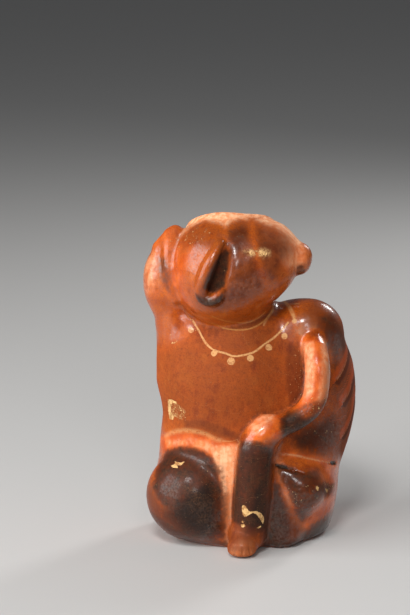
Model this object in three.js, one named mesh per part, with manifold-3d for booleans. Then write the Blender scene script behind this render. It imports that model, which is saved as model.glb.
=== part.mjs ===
// A hollow fired-clay vase in the form of a seated hunchbacked figure: the head is turned to
// the side and held by the raised right hand, the left hand rests on the raised left knee,
// and the mouth of the vase is cut through the crown of the head.
// Millimetres, +Z up, origin on the ground under the middle of the vase, chest towards -Y.
// The clay is one skin of even thickness over the hollow torso, neck, head and thighs. The
// arms, lower leg, nose and ear are solid lumps blended onto it.
import * as THREE from 'three'
import { mergeVertices } from 'three/addons/utils/BufferGeometryUtils.js'
import Module from 'manifold-3d'

// Driving sizes
const wall = 6.5 // thickness of the clay skin
const floorThickness = 9
const lipRounding = 4
const cell = 2.4 // spacing of the grid that samples the form
const triangleBudget = 8400
const underGround = 0.8 // how far the sampled form reaches below the ground before it is cut flat
const claySlip = { color: 0x9c4a1e, roughness: 0.38, metalness: 0 }

// Lumps of the hollow body: a ball has its middle and radii, a sausage has its ends and the
// radius at each
const seat = { at: [-2.5, -1, 31], radii: [66.5, 54, 73] }
const waist = { at: [1.5, 2, 66], radii: [61.5, 46, 40] }
const chest = { at: [-11, -2, 104], radii: [52, 46, 64] }
const hump = { at: [31, 16, 102], radii: [47.5, 46, 66] }
const leftShoulder = { at: [43, -2, 153], radii: [23.5, 19, 19.5] }
const rightShoulder = { from: [-41, -2, 122], to: [-56, -4, 176], radii: [24.5, 14] }
const neck = { from: [-6, 2, 144], to: [-9, -6, 182], radii: [29, 23] }
const skull = { at: [-17, -9, 197.5], radii: [40, 42, 41.5] }
const face = { at: [8, -12, 206], radii: [28, 30, 28.5] }
const rightThigh = { from: [-33, 6, 37], to: [-41.5, -27.5, 34], radii: [33, 33.5] }
const rightHip = { at: [-26, -24, 21], radii: [21, 31, 22] }
const leftThigh = { from: [38, 0, 38], to: [35.5, -36, 42], radii: [26, 19.5] }

// Solid lumps
const elbow = { at: [-62.5, -6, 188.5], radii: [14, 15, 25] }
const wrist = { from: [-61, -8, 212], to: [-57, -12, 222], radii: [8.5, 5] }
const raisedHand = {
  path: [
    [-52.5, -12, 225],
    [-57, -16, 214],
    [-57.5, -20, 202],
    [-56.5, -21, 189],
    [-53, -20, 178],
  ],
  radii: [5, 4.6, 4.2, 3.6, 2.5],
}
const nose = { at: [36, -15, 205], radii: [7.8, 9, 10.5] }
const snout = { from: [18, -13, 215], to: [34.5, -15, 208.5], radii: [14.5, 8.5] }
const leftArm = {
  path: [
    [44, -13, 151],
    [47, -28.5, 142],
    [48.5, -37, 131],
    [48, -40, 119],
    [45, -43, 107],
    [36.5, -47, 98.5],
    [25, -52, 93.5],
    [12, -56, 90],
  ],
  radii: [7, 8.8, 9, 9, 8.7, 7.8, 7.6, 9],
}
const armToBody = 9 // the clay that joins the left arm to the body reaches this far behind it
const armWebThinner = 2
const leftShin = {
  path: [
    [12, -56, 90],
    [5, -59, 82],
    [3, -58, 66],
    [2, -56, 41],
    [0, -54, 14],
  ],
  radii: [11, 12, 13, 13, 12],
}
const leftFoot = { from: [-3, -53, 12], to: [-5, -63, 7.5], radii: [12, 9] }
const toes = { at: [-5.5, -66, 5], radii: [9, 8.5, 6.2] }
const leftKnee = { from: [12, -24, 76], to: [8, -51, 80], radii: [14, 12] }
const leftCalf = { from: [10, -48, 68], to: [22, -36, 10], radii: [6, 17] }

// The right ear: a rim drawn on the side of the head (x, z), and the hollow inside it
const earRim = {
  line: [
    [-20.5, 222],
    [-24.5, 215],
    [-28.5, 207],
    [-32, 198],
    [-34, 190],
    [-32.5, 184.5],
    [-28, 182.5],
    [-23, 184.5],
    [-20.5, 189],
  ],
  radii: [2.5, 4, 5, 5.2, 5, 4.5, 4.4, 4.2, 3.2],
  proud: 0.8,
}
const earHollow = {
  line: [
    [-17, 219],
    [-21, 206],
    [-27, 191],
  ],
  radii: [4, 7.5, 6.5],
  proud: 3.8,
}

// The mouth of the vase: a hole down through the crown into the head, with a thickened lip
const mouth = { at: [-14, 2, 227], radii: [23, 15, 30] }
const lip = { radius: 4.5, proud: 0.8, outward: 3.5 }

// How far neighbouring lumps melt into each other
const bodyBlend = 18
const footRounding = 5
const neckBlend = 10
const limbBlend = 6
const seamBlend = 3
const creaseBlend = 4
const earBlend = 6

// Smooth union and smooth cut of two distances
const melt = (a, b, reach) => {
  const overlap = Math.max(reach - Math.abs(a - b), 0) / reach
  return Math.min(a, b) - (overlap * overlap * reach) / 4
}
const carve = (a, b, reach) => -melt(-a, b, reach)
const clip = (a, b, reach) => -melt(-a, -b, reach)

// Distance to a ball with three radii, close to exact near its surface
function ball({ at, radii }) {
  const [rx, ry, rz] = radii
  return (x, y, z) => {
    const px = (x - at[0]) / rx
    const py = (y - at[1]) / ry
    const pz = (z - at[2]) / rz
    const scaled = Math.hypot(px, py, pz)
    const slope = Math.hypot(px / rx, py / ry, pz / rz)
    return slope > 0 ? (scaled * (scaled - 1)) / slope : -Math.min(rx, ry, rz)
  }
}

// Distance to a sausage whose radius changes evenly from one end to the other
function sausage({ from, to, radii }) {
  const [ax, ay, az] = from
  const [lx, ly, lz] = [to[0] - ax, to[1] - ay, to[2] - az]
  const lengthSquared = lx * lx + ly * ly + lz * lz
  return (x, y, z) => {
    const along = ((x - ax) * lx + (y - ay) * ly + (z - az) * lz) / lengthSquared
    const t = Math.min(Math.max(along, 0), 1)
    const away = Math.hypot(x - ax - t * lx, y - ay - t * ly, z - az - t * lz)
    return away - (radii[0] + t * (radii[1] - radii[0]))
  }
}

// Distance to a limb that follows a smooth curve through its path
function limb({ path, radii }, stepsPerSpan = 3) {
  const curve = new THREE.CatmullRomCurve3(path.map((p) => new THREE.Vector3(...p)))
  const steps = (path.length - 1) * stepsPerSpan
  const points = curve.getPoints(steps).map((p) => p.toArray())
  const widths = points.map((_, i) => {
    const span = Math.min(Math.floor(i / stepsPerSpan), radii.length - 2)
    return radii[span] + (i / stepsPerSpan - span) * (radii[span + 1] - radii[span])
  })
  const parts = points
    .slice(1)
    .map((to, i) => sausage({ from: points[i], to, radii: [widths[i], widths[i + 1]] }))
  return (x, y, z) => parts.reduce((d, part) => Math.min(d, part(x, y, z)), Infinity)
}

// The point of a form's surface on the way from a point outside it to one inside
function surfaceOn(form, outside, inside) {
  const at = (t) => outside.map((v, i) => v + t * (inside[i] - v))
  let [near, far] = [0, 1]
  while (far - near > 1e-4) {
    const t = (near + far) / 2
    if (form(...at(t)) < 0) far = t
    else near = t
  }
  return at(far)
}

const bodyLumps = [ball(seat), ball(waist), ball(chest), ball(hump), ball(leftShoulder)]
const shoulderForm = sausage(rightShoulder)
const neckForm = sausage(neck)
const headLumps = [ball(skull), ball(face)]
const rightThighForm = sausage(rightThigh)
const rightHipForm = ball(rightHip)
const leftThighForm = sausage(leftThigh)

const meltAll = (lumps, reach, x, y, z) =>
  lumps.reduce((d, lump) => (d === null ? lump(x, y, z) : melt(d, lump(x, y, z), reach)), null)

const headForm = (x, y, z) => meltAll(headLumps, neckBlend, x, y, z)

// The part of the form that is hollow
function coreForm(x, y, z) {
  let d = meltAll(bodyLumps, bodyBlend, x, y, z)
  d = melt(d, shoulderForm(x, y, z), bodyBlend)
  const rightLeg = melt(rightThighForm(x, y, z), rightHipForm(x, y, z), neckBlend)
  d = melt(d, rightLeg, creaseBlend)
  d = melt(d, leftThighForm(x, y, z), limbBlend)
  d = melt(d, neckForm(x, y, z), neckBlend)
  return melt(d, headForm(x, y, z), creaseBlend)
}

// Lays a line of the head's side onto its surface, a little proud of it
function onHead({ line, radii, proud }) {
  const path = line.map(([x, z]) => {
    const [, y] = surfaceOn(headForm, [x, -90, z], [x, -10, z])
    return [x, y - proud, z]
  })
  return limb({ path, radii })
}

// The ring of clay around the mouth, sunk into the crown but for its proud top
function lipRing(points = 16) {
  const path = Array.from({ length: points + 1 }, (_, i) => {
    const turn = (i / points) * 2 * Math.PI
    const x = mouth.at[0] + (mouth.radii[0] + lip.outward) * Math.cos(turn)
    const y = mouth.at[1] + (mouth.radii[1] + lip.outward) * Math.sin(turn)
    const [, , z] = surfaceOn(headForm, [x, y, 260], [x, y, 190])
    return [x, y, z + lip.proud - lip.radius]
  })
  return limb({ path, radii: path.map(() => lip.radius) })
}

const armWeb = {
  path: leftArm.path.map(([x, y, z]) => [x, y + armToBody, z]),
  radii: leftArm.radii.map((r) => r - armWebThinner),
}
const noseForm = ball(nose)
const snoutForm = sausage(snout)
const raisedArmForms = [ball(elbow), sausage(wrist), limb(raisedHand)]
const earRimForm = onHead(earRim)
const earHollowForm = onHead(earHollow)
const lipForm = lipRing()
const limbForms = [
  limb(leftArm),
  limb(armWeb),
  limb(leftShin),
  sausage(leftFoot),
  ball(toes),
  sausage(leftKnee),
  sausage(leftCalf),
]

// The outside of the vase, before its crown and base are cut
function outerForm(x, y, z) {
  let d = coreForm(x, y, z)
  d = melt(d, melt(noseForm(x, y, z), snoutForm(x, y, z), limbBlend), creaseBlend)
  if (z > 170) d = melt(carve(d, earHollowForm(x, y, z), earBlend), earRimForm(x, y, z), seamBlend)
  if (z > 205) d = melt(d, lipForm(x, y, z), creaseBlend)
  d = melt(d, meltAll(raisedArmForms, creaseBlend, x, y, z), limbBlend)
  return melt(d, meltAll(limbForms, limbBlend, x, y, z), seamBlend)
}

const mouthForm = ball(mouth)

// The hollow: the core less its wall, open through the crown and closed by the floor
function cavityForm(x, y, z) {
  const inside = melt(coreForm(x, y, z) + wall, mouthForm(x, y, z), neckBlend)
  return clip(inside, floorThickness - z, neckBlend)
}

// The whole vase, ending just under the ground
function vaseForm(x, y, z) {
  const shell = carve(outerForm(x, y, z), cavityForm(x, y, z), lipRounding)
  return z < 20 ? clip(shell, -z - underGround, footRounding) : shell
}

// Samples a form on a grid and puts one point in each cell that its surface crosses
function skin(form, low, high) {
  const [nx, ny, nz] = low.map((v, i) => Math.ceil((high[i] - v) / cell) + 1)
  const values = new Float32Array(nx * ny * nz)
  const index = (i, j, k) => i + nx * (j + ny * k)
  for (let k = 0; k < nz; k++)
    for (let j = 0; j < ny; j++)
      for (let i = 0; i < nx; i++)
        values[index(i, j, k)] = form(low[0] + i * cell, low[1] + j * cell, low[2] + k * cell)
  // Where inside corners of a grid face lie on its diagonal the skin would be pinched, so the
  // weaker of the outside corners is filled
  const steps = [1, nx, nx * ny]
  for (let pinched = true; pinched; ) {
    pinched = false
    for (let c = 0; c < values.length - steps[2] - nx; c++)
      for (let axis = 0; axis < 3; axis++) {
        const [u, w] = [steps[axis], steps[(axis + 1) % 3]]
        const inside = values[c] < 0
        if (inside !== values[c + u + w] < 0 || inside === values[c + u] < 0) continue
        if (inside === values[c + w] < 0) continue
        const [a, b] = inside ? [c + u, c + w] : [c, c + u + w]
        const weaker = values[a] < values[b] ? a : b
        values[weaker] = -1e-3 - values[weaker]
        pinched = true
      }
  }
  const corners = [0, 1, 2, 3, 4, 5, 6, 7].map((c) => [c & 1, (c >> 1) & 1, c >> 2])
  const edges = corners.flatMap((_, a) => [1, 2, 4].filter((b) => !(a & b)).map((b) => [a, a | b]))
  const points = []
  const pointOf = new Int32Array(nx * ny * nz).fill(-1)
  const placePoint = (i, j, k) => {
    const v = corners.map(([a, b, c]) => values[index(i + a, j + b, k + c)])
    const crossed = edges.filter(([a, b]) => v[a] < 0 !== v[b] < 0)
    if (!crossed.length) return
    const middle = [0, 1, 2].map((axis) => {
      const places = crossed.map(([a, b]) => {
        const t = v[a] / (v[a] - v[b])
        return corners[a][axis] + t * (corners[b][axis] - corners[a][axis])
      })
      return places.reduce((sum, p) => sum + p, 0) / crossed.length
    })
    pointOf[index(i, j, k)] = points.length
    points.push(middle.map((m, axis) => low[axis] + ([i, j, k][axis] + m) * cell))
  }
  for (let k = 0; k < nz - 1; k++)
    for (let j = 0; j < ny - 1; j++) for (let i = 0; i < nx - 1; i++) placePoint(i, j, k)
  const triangles = []
  for (let k = 1; k < nz - 1; k++)
    for (let j = 1; j < ny - 1; j++)
      for (let i = 1; i < nx - 1; i++)
        for (let axis = 0; axis < 3; axis++) {
          const here = index(i, j, k)
          const inside = values[here] < 0
          if (inside === values[here + steps[axis]] < 0) continue
          const [u, w] = [steps[(axis + 1) % 3], steps[(axis + 2) % 3]]
          const around = [here, here - u, here - u - w, here - w].map((c) => pointOf[c])
          const [a, b, c, d] = inside ? around : around.reverse()
          triangles.push([a, b, c], [a, c, d])
        }
  return { points, triangles }
}

// Collapses the edges that matter least, by the distance from the planes that met there,
// until the budget is met
function simplify({ points, triangles }, budget) {
  const place = points.map((p) => new THREE.Vector3(...p))
  const quadrics = points.map(() => new Float64Array(10))
  const facesOf = points.map(() => new Set())
  const faces = triangles.map((t) => [...t])
  const normalOf = (a, b, c) =>
    new THREE.Vector3().subVectors(b, a).cross(new THREE.Vector3().subVectors(c, a))
  faces.forEach((face, f) => {
    const n = normalOf(...face.map((v) => place[v]))
    const area = n.length()
    n.normalize()
    const d = -n.dot(place[face[0]])
    const [a, b, c] = n.toArray()
    const own = [a * a, a * b, a * c, a * d, b * b, b * c, b * d, c * c, c * d, d * d]
    for (const v of face) {
      facesOf[v].add(f)
      own.forEach((q, i) => (quadrics[v][i] += q * area))
    }
  })
  const neighbours = (v) => {
    const found = new Set()
    for (const f of facesOf[v]) for (const w of faces[f]) if (w !== v) found.add(w)
    return found
  }
  const errorAt = (q, { x, y, z }) =>
    q[0] * x * x + 2 * q[1] * x * y + 2 * q[2] * x * z + 2 * q[3] * x +
    q[4] * y * y + 2 * q[5] * y * z + 2 * q[6] * y + q[7] * z * z + 2 * q[8] * z + q[9]
  const shortness = 1e-3 // a small cost of length, which keeps flat stretches even
  const planOf = (a, b) => {
    const q = quadrics[a].map((v, i) => v + quadrics[b][i])
    const middle = place[a].clone().add(place[b]).multiplyScalar(0.5)
    const m = new THREE.Matrix3().set(q[0], q[1], q[2], q[1], q[4], q[5], q[2], q[5], q[7])
    const spread = q[0] + q[4] + q[7]
    const spots = [middle, place[a], place[b]]
    if (m.determinant() > 1e-4 * spread ** 3) {
      const best = new THREE.Vector3(-q[3], -q[6], -q[8]).applyMatrix3(m.invert())
      if (best.distanceTo(middle) < place[a].distanceTo(place[b])) spots.unshift(best)
    }
    const length = place[a].distanceToSquared(place[b])
    const costs = spots.map((s) => Math.abs(errorAt(q, s)) + shortness * length * length)
    const least = costs.indexOf(Math.min(...costs))
    return { a, b, q, spot: spots[least], cost: costs[least], ageA: ages[a], ageB: ages[b] }
  }
  const ages = new Uint32Array(points.length)
  const heap = []
  const push = (item) => {
    let i = heap.push(item) - 1
    while (i > 0) {
      const up = (i - 1) >> 1
      if (heap[up].cost <= item.cost) break
      heap[i] = heap[up]
      i = up
    }
    heap[i] = item
  }
  const pop = () => {
    const top = heap[0]
    const last = heap.pop()
    let i = 0
    while (heap.length) {
      let down = 2 * i + 1
      if (down >= heap.length) break
      if (down + 1 < heap.length && heap[down + 1].cost < heap[down].cost) down++
      if (heap[down].cost >= last.cost) break
      heap[i] = heap[down]
      i = down
    }
    if (heap.length) heap[i] = last
    return top
  }
  points.forEach((_, v) => neighbours(v).forEach((w) => v < w && push(planOf(v, w))))
  const keepsShape = (v, gone, spot) => {
    for (const f of facesOf[v]) {
      if (faces[f].includes(gone)) continue
      const before = normalOf(...faces[f].map((w) => place[w]))
      const after = normalOf(...faces[f].map((w) => (w === v ? spot : place[w])))
      const longest = Math.max(
        ...faces[f].filter((w) => w !== v).map((w) => place[w].distanceToSquared(spot)),
      )
      if (after.length() < 0.05 * longest) return false
      if (before.normalize().dot(after.normalize()) < 0.5) return false
    }
    return true
  }
  let count = faces.length
  while (count > budget && heap.length) {
    const { a, b, q, spot, ageA, ageB } = pop()
    if (ages[a] !== ageA || ages[b] !== ageB) continue
    const around = neighbours(b)
    const shared = [...neighbours(a)].filter((v) => around.has(v))
    if (shared.length !== 2 || !keepsShape(a, b, spot) || !keepsShape(b, a, spot)) continue
    for (const f of [...facesOf[b]]) {
      if (faces[f].includes(a)) {
        faces[f].forEach((v) => facesOf[v].delete(f))
        faces[f] = null
        count--
      } else {
        faces[f] = faces[f].map((v) => (v === b ? a : v))
        facesOf[a].add(f)
      }
    }
    facesOf[b].clear()
    place[a].copy(spot)
    quadrics[a] = q
    ages[a]++
    ages[b] = 0xffffffff
    for (const v of neighbours(a)) push(planOf(Math.min(a, v), Math.max(a, v)))
  }
  return { points: place.map((p) => p.toArray()), triangles: faces.filter(Boolean) }
}

// A closed mesh as a solid
function solidOf(wasm, { points, triangles }) {
  const used = [...new Set(triangles.flat())]
  const renumbered = new Map(used.map((v, i) => [v, i]))
  return new wasm.Manifold(
    new wasm.Mesh({
      numProp: 3,
      vertProperties: new Float32Array(used.flatMap((v) => points[v])),
      triVerts: new Uint32Array(triangles.flat().map((v) => renumbered.get(v))),
    }),
  )
}

const wasm = await Module()
wasm.setup()
const sampled = skin(vaseForm, [-90, -84, -6], [92, 78, 250])
const vaseSolid = solidOf(wasm, simplify(sampled, triangleBudget))

// A box under the ground cuts the base flat
const box = new THREE.BoxGeometry(300, 300, 40)
box.translate(0, 0, -20)
box.deleteAttribute('normal')
box.deleteAttribute('uv')
const ground = mergeVertices(box)
const groundSolid = new wasm.Manifold(
  new wasm.Mesh({
    numProp: 3,
    vertProperties: ground.attributes.position.array,
    triVerts: new Uint32Array(ground.index.array),
  }),
)
const standing = vaseSolid.subtract(groundSolid).getMesh()

const geometry = new THREE.BufferGeometry()
geometry.setAttribute('position', new THREE.BufferAttribute(standing.vertProperties, 3))
geometry.setIndex(new THREE.BufferAttribute(standing.triVerts, 1))
geometry.computeBoundingBox()
const middle = geometry.boundingBox.getCenter(new THREE.Vector3())
geometry.translate(-middle.x, -middle.y, 0)

const vase = new THREE.Mesh(geometry, new THREE.MeshStandardMaterial(claySlip))
vase.name = 'vase'
const group = new THREE.Group()
group.add(vase)
export default group
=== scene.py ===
import math
from types import SimpleNamespace

import bmesh
import bpy
import numpy as np
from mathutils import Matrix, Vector, noise


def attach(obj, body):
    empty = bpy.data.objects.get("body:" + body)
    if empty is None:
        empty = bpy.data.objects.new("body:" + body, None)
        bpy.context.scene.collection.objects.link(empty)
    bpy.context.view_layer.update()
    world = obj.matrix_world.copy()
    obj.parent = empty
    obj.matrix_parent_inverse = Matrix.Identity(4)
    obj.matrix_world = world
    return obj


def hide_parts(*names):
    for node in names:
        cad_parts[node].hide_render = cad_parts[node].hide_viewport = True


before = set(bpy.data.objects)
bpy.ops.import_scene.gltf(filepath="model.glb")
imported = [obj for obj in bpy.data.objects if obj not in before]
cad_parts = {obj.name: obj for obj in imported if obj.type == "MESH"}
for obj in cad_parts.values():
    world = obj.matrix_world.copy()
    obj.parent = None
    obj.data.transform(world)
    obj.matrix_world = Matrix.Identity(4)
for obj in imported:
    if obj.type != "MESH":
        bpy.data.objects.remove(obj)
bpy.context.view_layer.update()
print("frame loaded")

# The form is worked out in millimetres, in the figure's own frame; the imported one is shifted
figureShift = np.array([1.019, -6.471, 0.0])
metresPerUnit = 0.001


# The form: a distance to each lump, melted together as wet clay is

def melt(a, b, reach):
    overlap = np.maximum(reach - np.abs(a - b), 0) / reach
    return np.minimum(a, b) - overlap * overlap * reach / 4


def carve(a, b, reach):
    return -melt(-a, b, reach)


def clip(a, b, reach):
    return -melt(-a, -b, reach)


def ball(at, radii):
    at, radii = np.array(at, float), np.array(radii, float)

    def distance(p):
        q = (p - at) / radii
        scaled = np.linalg.norm(q, axis=1)
        slope = np.linalg.norm(q / radii, axis=1)
        return scaled * (scaled - 1) / np.maximum(slope, 1e-9)
    return distance


def sausage(start, end, radii):
    start = np.array(start, float)
    line = np.array(end, float) - start

    def distance(p):
        away = p - start
        t = np.clip(away @ line / (line @ line), 0, 1)
        return np.linalg.norm(away - t[:, None] * line, axis=1) - radii[0] - t * (radii[1] - radii[0])
    return distance


def smoothPath(points, steps):
    # a centripetal curve through the points, with its two ends carried on straight
    points = [np.array(p, float) for p in points]
    padded = [2 * points[0] - points[1], *points, 2 * points[-1] - points[-2]]
    curve = []
    for a, b, c, d in zip(padded, padded[1:], padded[2:], padded[3:]):
        gaps = [math.sqrt(np.linalg.norm(q - p)) or 1 for p, q in ((a, b), (b, c), (c, d))]
        start = ((b - a) / gaps[0] - (c - a) / (gaps[0] + gaps[1])) * gaps[1] + (c - b)
        end = (c - b) + ((d - c) / gaps[2] - (d - b) / (gaps[1] + gaps[2])) * gaps[1]
        for i in range(steps):
            t = i / steps
            curve.append((2 * t**3 - 3 * t**2 + 1) * b + (t**3 - 2 * t**2 + t) * start
                         + (3 * t**2 - 2 * t**3) * c + (t**3 - t**2) * end)
    return curve + [points[-1]]


def limb(path, radii, steps=3, farAway=30.0):
    points = smoothPath(path, steps)
    widths = np.interp(np.arange(len(points)) / steps, np.arange(len(radii)), radii)
    parts = [sausage(a, b, w) for a, b, w in zip(points, points[1:], zip(widths, widths[1:]))]
    low = np.min(points, axis=0) - max(radii) - farAway / 2
    high = np.max(points, axis=0) + max(radii) + farAway / 2

    def distance(p):
        near = np.all((p > low) & (p < high), axis=1)
        d = np.full(len(p), farAway)
        for part in parts:
            d[near] = np.minimum(d[near], part(p[near]))
        return d
    return distance


figure = {
    "wall": 6.5, "floorThickness": 9, "lipRounding": 4,
    "bodyBlend": 18, "neckBlend": 10, "limbBlend": 6, "creaseBlend": 4, "seamBlend": 3,
    "earBlend": 6, "earRimProud": 0.8, "earHollowProud": 3.8,
    "footRounding": 5, "footReach": 20,
    "mouthAt": (-14, 2, 227), "mouthRadii": (23, 15, 30),
    "lipRadius": 4.5, "lipProud": 0.8, "lipOutward": 3.5,
    "armToBody": 9, "armWebThinner": 2,
    # where the lines that look for the head's surface start and end
    "beforeHead": -90, "amidHead": -10, "overHead": 260, "underCrown": 190,
}
leftArmPath = [(44, -13, 151), (47, -28.5, 142), (48.5, -37, 131), (48, -40, 119), (45, -43, 107),
               (36.5, -47, 98.5), (25, -52, 93.5), (12, -56, 90)]
leftArmRadii = [7, 8.8, 9, 9, 8.7, 7.8, 7.6, 9]
leftShinPath = [(12, -56, 90), (5, -59, 82), (3, -58, 66), (2, -56, 41), (0, -54, 14)]
raisedHandPath = [(-52.5, -12, 225), (-57, -16, 214), (-57.5, -20, 202), (-56.5, -21, 189), (-53, -20, 178)]
earRimLine = [(-20.5, 222), (-24.5, 215), (-28.5, 207), (-32, 198), (-34, 190),
              (-32.5, 184.5), (-28, 182.5), (-23, 184.5), (-20.5, 189)]
earRimRadii = [2.5, 4, 5, 5.2, 5, 4.5, 4.4, 4.2, 3.2]
earHollowLine = [(-17, 219), (-21, 206), (-27, 191)]
earHollowRadii = [4, 7.5, 6.5]

lumps = {
    "seat": ball((-2.5, -1, 31), (66.5, 54, 73)),
    "waist": ball((1.5, 2, 66), (61.5, 46, 40)),
    "chest": ball((-11, -2, 104), (52, 46, 64)),
    "hump": ball((31, 16, 102), (47.5, 46, 66)),
    "leftShoulder": ball((43, -2, 153), (23.5, 19, 19.5)),
    "rightShoulder": sausage((-41, -2, 122), (-56, -4, 176), (24.5, 14)),
    "rightThigh": sausage((-33, 6, 37), (-41.5, -27.5, 34), (33, 33.5)),
    "rightHip": ball((-26, -24, 21), (21, 31, 22)),
    "leftThigh": sausage((38, 0, 38), (35.5, -36, 42), (26, 19.5)),
    "neck": sausage((-6, 2, 144), (-9, -6, 182), (29, 23)),
    "skull": ball((-17, -9, 197.5), (40, 42, 41.5)),
    "face": ball((8, -12, 206), (28, 30, 28.5)),
    "nose": ball((36, -15, 205), (7.8, 9, 10.5)),
    "snout": sausage((18, -13, 215), (34.5, -15, 208.5), (14.5, 8.5)),
    "elbow": ball((-62.5, -6, 188.5), (14, 15, 25)),
    "wrist": sausage((-61, -8, 212), (-57, -12, 222), (8.5, 5)),
    "raisedHand": limb(raisedHandPath, [5, 4.6, 4.2, 3.6, 2.5]),
    "leftArm": limb(leftArmPath, leftArmRadii),
    "armWeb": limb([(x, y + figure["armToBody"], z) for x, y, z in leftArmPath],
                   [r - figure["armWebThinner"] for r in leftArmRadii]),
    "leftShin": limb(leftShinPath, [11, 12, 13, 13, 12]),
    "leftFoot": sausage((-3, -53, 12), (-5, -63, 7.5), (12, 9)),
    "toes": ball((-5.5, -66, 5), (9, 8.5, 6.2)),
    "leftKnee": sausage((12, -24, 76), (8, -51, 80), (14, 12)),
    "leftCalf": sausage((10, -48, 68), (22, -36, 10), (6, 17)),
}
mouthForm = ball(figure["mouthAt"], figure["mouthRadii"])


def headForm(p):
    return melt(lumps["skull"](p), lumps["face"](p), figure["neckBlend"])


def surfaceOn(form, outside, inside, tolerance=1e-4):
    # where the line from a point outside to one inside meets the form
    outside, inside = np.array(outside, float), np.array(inside, float)
    near, far = 0.0, 1.0
    while far - near > tolerance:
        t = (near + far) / 2
        if form((outside + t * (inside - outside))[None])[0] < 0:
            far = t
        else:
            near = t
    return outside + far * (inside - outside)


def onHead(line, radii, proud):
    # lays a line of the head's side onto its surface, a little proud of it
    path = []
    for x, z in line:
        y = surfaceOn(headForm, (x, figure["beforeHead"], z), (x, figure["amidHead"], z))[1]
        path.append((x, y - proud, z))
    return limb(path, radii)


def lipRing(points=16):
    (mx, my), (rx, ry) = figure["mouthAt"][:2], figure["mouthRadii"][:2]
    path = []
    for i in range(points + 1):
        turn = i / points * 2 * math.pi
        x = mx + (rx + figure["lipOutward"]) * math.cos(turn)
        y = my + (ry + figure["lipOutward"]) * math.sin(turn)
        z = surfaceOn(headForm, (x, y, figure["overHead"]), (x, y, figure["underCrown"]))[2]
        path.append((x, y, z + figure["lipProud"] - figure["lipRadius"]))
    return limb(path, [figure["lipRadius"]] * len(path))


lumps["earRim"] = onHead(earRimLine, earRimRadii, figure["earRimProud"])
lumps["earHollow"] = onHead(earHollowLine, earHollowRadii, figure["earHollowProud"])
lumps["lip"] = lipRing()


def coreForm(p):
    d = lumps["seat"](p)
    for name in ("waist", "chest", "hump", "leftShoulder", "rightShoulder"):
        d = melt(d, lumps[name](p), figure["bodyBlend"])
    rightLeg = melt(lumps["rightThigh"](p), lumps["rightHip"](p), figure["neckBlend"])
    d = melt(d, rightLeg, figure["creaseBlend"])
    d = melt(d, lumps["leftThigh"](p), figure["limbBlend"])
    d = melt(d, lumps["neck"](p), figure["neckBlend"])
    return melt(d, headForm(p), figure["creaseBlend"])


def raisedArmForm(p):
    d = melt(lumps["elbow"](p), lumps["wrist"](p), figure["creaseBlend"])
    return melt(d, lumps["raisedHand"](p), figure["creaseBlend"])


def limbsForm(p):
    d = lumps["leftArm"](p)
    for name in ("armWeb", "leftShin", "leftFoot", "toes", "leftKnee", "leftCalf"):
        d = melt(d, lumps[name](p), figure["limbBlend"])
    return d


def outerForm(p):
    noseForm = melt(lumps["nose"](p), lumps["snout"](p), figure["limbBlend"])
    d = melt(coreForm(p), noseForm, figure["creaseBlend"])
    d = carve(d, lumps["earHollow"](p), figure["earBlend"])
    d = melt(d, lumps["earRim"](p), figure["seamBlend"])
    d = melt(d, lumps["lip"](p), figure["creaseBlend"])
    d = melt(d, raisedArmForm(p), figure["limbBlend"])
    return melt(d, limbsForm(p), figure["seamBlend"])


def cavityForm(p):
    inside = melt(coreForm(p) + figure["wall"], mouthForm(p), figure["neckBlend"])
    return clip(inside, figure["floorThickness"] - p[:, 2], figure["neckBlend"])


def vaseForm(p):
    shell = carve(outerForm(p), cavityForm(p), figure["lipRounding"])
    low = p[:, 2] < figure["footReach"]
    shell[low] = clip(shell[low], -p[low, 2], figure["footRounding"])
    return shell


def slopeOf(form, p, step=0.15):
    slope = np.empty_like(p)
    for axis in range(3):
        move = np.zeros(3)
        move[axis] = step
        slope[:, axis] = (form(p + move) - form(p - move)) / (2 * step)
    return slope


# The view: the camera stands before the chest and looks a little down

view = {
    "aim": (0, 0, 118),        # mm, the point looked at
    "distance": 1500,          # mm
    "down": 14,                # degrees
    "mmPerPixel": 0.731,       # at the aim
    "aimPixel": (249.5, 373.4),
    "picture": (410, 615),     # pixels
}
downTurn = math.radians(view["down"])
forward = np.array([0, math.cos(downTurn), -math.sin(downTurn)])
rightward = np.array([1.0, 0, 0])
upward = np.array([0, math.sin(downTurn), math.cos(downTurn)])
eye = np.array(view["aim"]) - view["distance"] * forward


def pixelRay(pixel):
    # the direction from the eye through a pixel of the view
    across = (pixel[0] - view["aimPixel"][0]) * view["mmPerPixel"]
    up = (view["aimPixel"][1] - pixel[1]) * view["mmPerPixel"]
    ray = forward * view["distance"] + rightward * across + upward * up
    return ray / np.linalg.norm(ray)


def pixelsOf(p):
    away = p - eye
    depth = away @ forward
    scale = view["distance"] / depth / view["mmPerPixel"]
    return np.stack([view["aimPixel"][0] + (away @ rightward) * scale,
                     view["aimPixel"][1] - (away @ upward) * scale], axis=1)


def toRow(p):
    return (np.array(p, float) - figureShift) * metresPerUnit


def toFigure(p):
    return np.array(p, float) / metresPerUnit + figureShift


# The skin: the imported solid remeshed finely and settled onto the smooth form

skin = {
    "voxel": 1.55,                            # mm
    "hollowFaces": 7000,                      # triangles kept on the wall inside
    "hollowFrom": 1.5, "hollowDepth": 3.5, "hollowTop": 200,
    "settleRounds": 3, "longestMove": 1.5, "leastSlope": 0.25, "base": 0.3,
    "outerReach": 1,                          # mm, how near the outer form the outside is
    # each fade is where it starts and over how much it goes
    "wallFade": (0.7, 1.2), "seenFade": (-0.2, 0.3), "lumpFade": (0.8, 2),
    "fineRounds": 2, "fineSeen": 0.3,
}


def applied(piece):
    bpy.context.view_layer.update()
    depsgraph = bpy.context.evaluated_depsgraph_get()
    mesh = bpy.data.meshes.new_from_object(piece.evaluated_get(depsgraph))
    piece.modifiers.clear()
    piece.data = mesh
    return piece


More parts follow.
